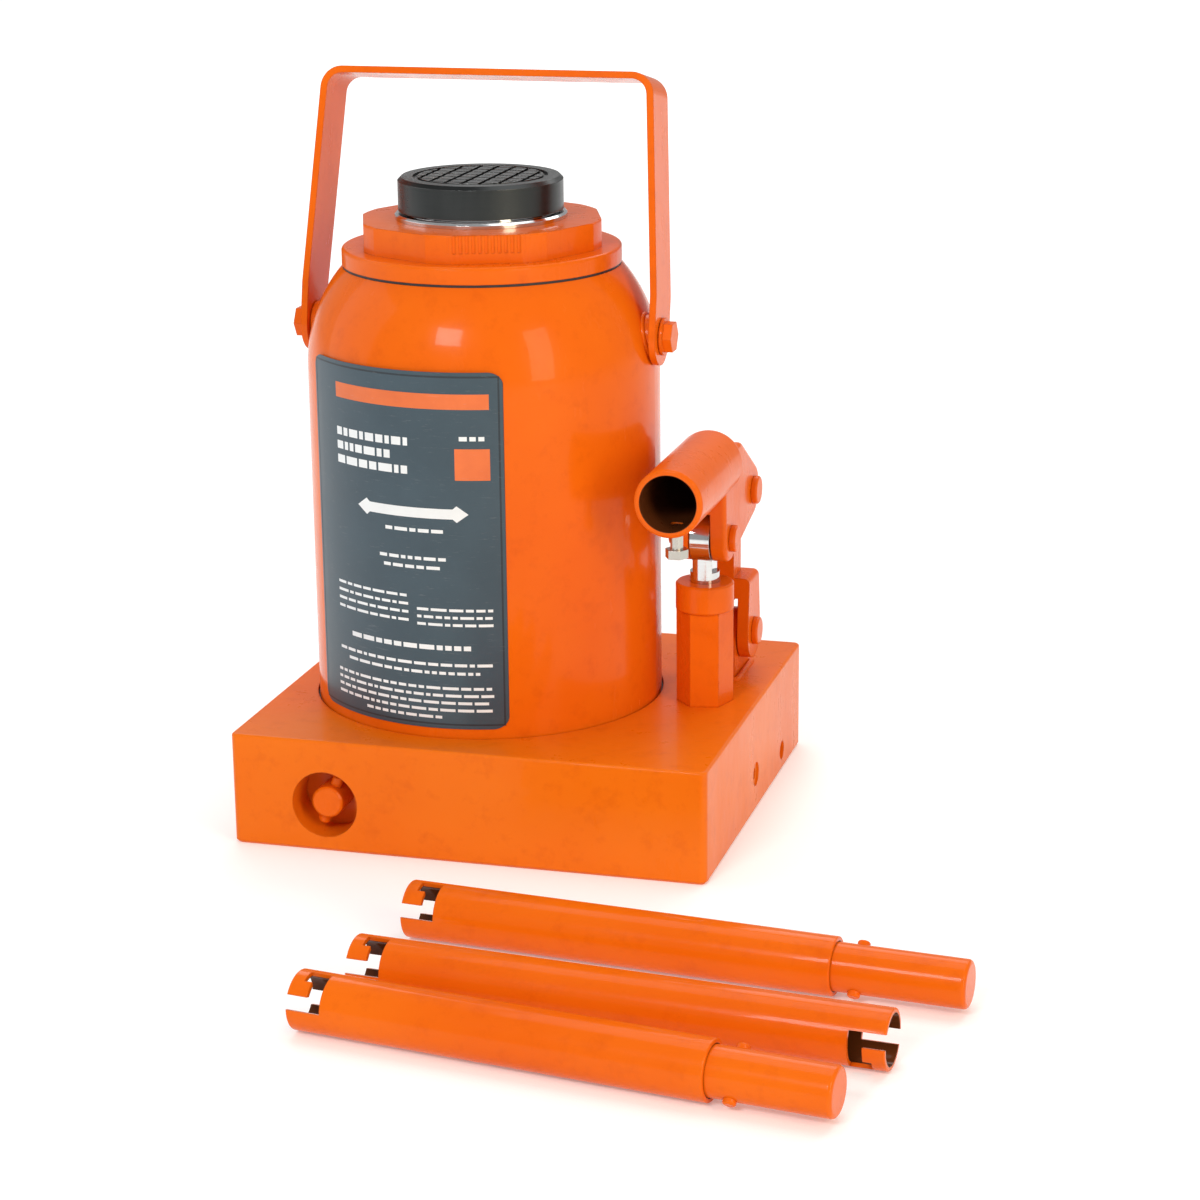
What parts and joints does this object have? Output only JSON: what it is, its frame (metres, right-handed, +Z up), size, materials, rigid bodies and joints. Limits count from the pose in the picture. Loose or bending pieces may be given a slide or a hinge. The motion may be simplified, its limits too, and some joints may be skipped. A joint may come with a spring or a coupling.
{
  "type": "hydraulic bottle jack",
  "caption": "Hydraulic bottle jack with reservoir, lifting ram and saddle, side pump with lever socket, release valve, carrying bail and a sectional pump handle.",
  "frame": {"origin": "on the ram's axis at the underside of the base", "axes": "+Z up along the lift; +X from the ram towards the pump; -Y the front, with the release valve and the socket's mouth"},
  "size_m": [0.3113, 0.3686, 0.2987],
  "materials": {
    "base_block": "gloss orange enamel on machined steel",
    "passage_plugs": "blackened steel",
    "relief_screw": "blackened steel",
    "relief_spring": "spring steel",
    "relief_ball": "polished bearing ball",
    "outlet_ball": "polished bearing ball",
    "outlet_spring": "spring steel",
    "outlet_retainer": "turned steel",
    "inlet_seat": "turned steel",
    "inlet_ball": "polished bearing ball",
    "inlet_spring": "spring steel",
    "inlet_strainer": "pressed brass",
    "release_screw": "painted steel stem",
    "release_cross_pin": "bare steel pin",
    "release_seal": "nitrile rubber",
    "release_ball": "polished bearing ball",
    "reservoir_tank": "gloss orange enamel",
    "tank_gasket": "nitrile rubber",
    "tank_top_seal": "nitrile rubber",
    "filler_plug": "moulded black rubber",
    "pressure_cylinder": "honed steel tube",
    "cylinder_seal": "soft copper washer",
    "top_nut": "gloss orange enamel",
    "rod_seal": "nitrile rubber",
    "wiper_ring": "plated steel",
    "ram": "ground and hard chromed steel",
    "piston_cup": "nitrile rubber",
    "piston_backup_ring": "white plastic ring",
    "piston_guide": "bronze filled band",
    "saddle": "black oxide on forged steel",
    "saddle_ring": "spring steel ring",
    "pump_cylinder": "gloss orange enamel",
    "pump_washer": "soft copper washer",
    "pump_gland_seal": "nitrile rubber",
    "pump_plunger": "ground steel",
    "plunger_seal": "nitrile rubber",
    "link_lug": "gloss orange enamel",
    "pump_link": "gloss orange enamel",
    "pump_lever": "gloss orange enamel",
    "fulcrum_pin": "painted over steel pin",
    "plunger_pin": "painted over steel pin",
    "link_foot_pin": "painted over steel pin",
    "lever_pin_clips": "blackened spring clip",
    "link_foot_clip": "blackened spring clip",
    "socket_screw": "dark steel screw",
    "bail_handle": "gloss orange enamel",
    "bail_studs": "gloss orange enamel",
    "bail_nuts": "painted hexagon nut",
    "label_plate": null,
    "handle_tube_rear": "satin orange enamel",
    "handle_spigot_rear": "satin orange enamel",
    "handle_pin_rear": "painted over steel pin",
    "handle_tube_middle": "satin orange enamel",
    "handle_tube_front": "satin orange enamel",
    "handle_spigot_front": "satin orange enamel",
    "handle_pin_front": "painted over steel pin"
  },
  "bodies": {
    "base": {"base_block": "base_block", "passage_plugs": "passage_plugs", "relief_screw": "relief_screw", "relief_spring": "relief_spring", "relief_ball": "relief_ball", "outlet_ball": "outlet_ball", "outlet_spring": "outlet_spring", "outlet_retainer": "outlet_retainer", "inlet_seat": "inlet_seat", "inlet_ball": "inlet_ball", "inlet_spring": "inlet_spring", "inlet_strainer": "inlet_strainer", "release_ball": "release_ball", "reservoir_tank": "reservoir_tank", "tank_gasket": "tank_gasket", "tank_top_seal": "tank_top_seal", "filler_plug": "filler_plug", "pressure_cylinder": "pressure_cylinder", "cylinder_seal": "cylinder_seal", "top_nut": "top_nut", "rod_seal": "rod_seal", "wiper_ring": "wiper_ring", "pump_cylinder": "pump_cylinder", "pump_washer": "pump_washer", "pump_gland_seal": "pump_gland_seal", "link_lug": "link_lug", "link_foot_pin": "link_foot_pin", "link_foot_clip": "link_foot_clip", "bail_studs": "bail_studs", "bail_nuts": "bail_nuts", "label_plate": "label_plate"},
    "ram": {"ram": "ram", "piston_cup": "piston_cup", "piston_backup_ring": "piston_backup_ring", "piston_guide": "piston_guide"},
    "saddle": {"saddle": "saddle", "saddle_ring": "saddle_ring"},
    "link": {"pump_link": "pump_link"},
    "lever": {"pump_lever": "pump_lever", "fulcrum_pin": "fulcrum_pin", "plunger_pin": "plunger_pin", "lever_pin_clips": "lever_pin_clips", "socket_screw": "socket_screw"},
    "plunger": {"pump_plunger": "pump_plunger", "plunger_seal": "plunger_seal"},
    "release_valve": {"release_screw": "release_screw", "release_cross_pin": "release_cross_pin", "release_seal": "release_seal"},
    "bail": {"bail_handle": "bail_handle"},
    "handle_rear": {"handle_tube_rear": "handle_tube_rear", "handle_spigot_rear": "handle_spigot_rear", "handle_pin_rear": "handle_pin_rear"},
    "handle_middle": {"handle_tube_middle": "handle_tube_middle"},
    "handle_front": {"handle_tube_front": "handle_tube_front", "handle_spigot_front": "handle_spigot_front", "handle_pin_front": "handle_pin_front"}
  },
  "joints": [
    {"name": "ram_lift", "type": "slide", "parent": "base", "child": "ram", "axis": [0, 0, 1], "range_m": [0, 0.16]},
    {"name": "saddle_swivel", "type": "hinge", "parent": "ram", "child": "saddle", "pos_m": [0, 0, 0.2448], "axis": [0, 0, 1], "continuous": true},
    {"name": "link_rock", "type": "hinge", "parent": "base", "child": "link", "pos_m": [0.0915, 0.042, 0.064], "axis": [-1, 0, 0], "range_deg": [-0.2, 0.7]},
    {"name": "lever_swing", "type": "hinge", "parent": "link", "child": "lever", "pos_m": [0.0915, 0.04, 0.1252], "axis": [-1, 0, 0], "range_deg": [-8, 32]},
    {"name": "plunger_stroke", "type": "slide", "parent": "base", "child": "plunger", "axis": [0, 0, 1], "range_m": [-0.0058, 0.02314]},
    {"name": "release_valve_turn", "type": "hinge", "parent": "base", "child": "release_valve", "pos_m": [-0.0423, -0.087, 0.0195], "axis": [0, -1, 0], "range_deg": [0, 360]},
    {"name": "bail_swing", "type": "hinge", "parent": "base", "child": "bail", "pos_m": [0, 0, 0.196], "axis": [-1, 0, 0], "range_deg": [0, 92]},
    {"name": "handle_rear_lift", "type": "slide", "parent": "base", "child": "handle_rear", "axis": [0, 0, 1], "range_m": [0, 0.12]},
    {"name": "handle_middle_lift", "type": "slide", "parent": "base", "child": "handle_middle", "axis": [0, 0, 1], "range_m": [0, 0.12]},
    {"name": "handle_front_lift", "type": "slide", "parent": "base", "child": "handle_front", "axis": [0, 0, 1], "range_m": [0, 0.12]}
  ],
  "couplings": [
    {"joint": "link_rock", "follows": "lever_swing", "ratio": 0.02},
    {"joint": "plunger_stroke", "follows": "lever_swing", "m_per_rad": 0.0414},
    {"joint": "bail_swing", "follows": "ram_lift", "rad_per_m": 10}
  ]
}
